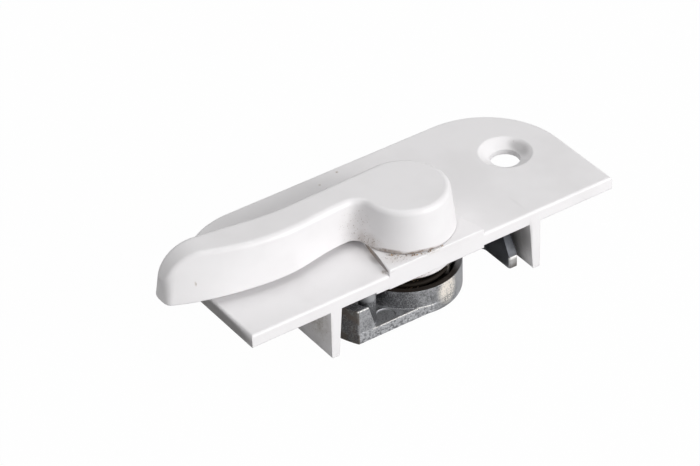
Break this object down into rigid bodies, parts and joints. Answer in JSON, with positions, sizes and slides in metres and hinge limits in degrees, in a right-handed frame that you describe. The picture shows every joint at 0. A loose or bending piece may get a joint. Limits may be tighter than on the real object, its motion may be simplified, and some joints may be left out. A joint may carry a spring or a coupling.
{
  "type": "sliding window lock",
  "caption": "Sliding window lock: white face plate with countersunk fixing holes and locating legs, and a curved hand lever that turns a raw crescent cam below it.",
  "frame": {"origin": "midway between the two fixing holes, on the seating face of the plate", "axes": "+Z out of the seating face towards the lever, +X along the straight near edge from the lever's tip towards its hub, +Y from the near edge to the far edge"},
  "size_m": [0.077, 0.0296, 0.0196],
  "materials": {
    "plate_paint": "semi-gloss white powder coat over a die casting, with specks of brown dirt",
    "lever_paint": "semi-gloss white powder coat over a die casting, with brown dirt in the neck and a scuff at the tip",
    "raw_zinc": "uncoated zinc die casting, grainy and greasy, with bright worn edges",
    "spring_steel": "bright drawn wire",
    "fastener_steel": "zinc-plated steel"
  },
  "bodies": {
    "base": {"face_plate": "plate_paint"},
    "lever_and_cam": {"lever": "lever_paint", "crescent_cam": "raw_zinc", "friction_spring": "spring_steel", "cam_washer": "fastener_steel", "cam_screw": "fastener_steel"}
  },
  "joints": [
    {"name": "lever_turn", "type": "hinge", "parent": "base", "child": "lever_and_cam", "pos_m": [0, -0.0073, 0], "axis": [0, 0, -1], "range_deg": [0, 180]}
  ]
}
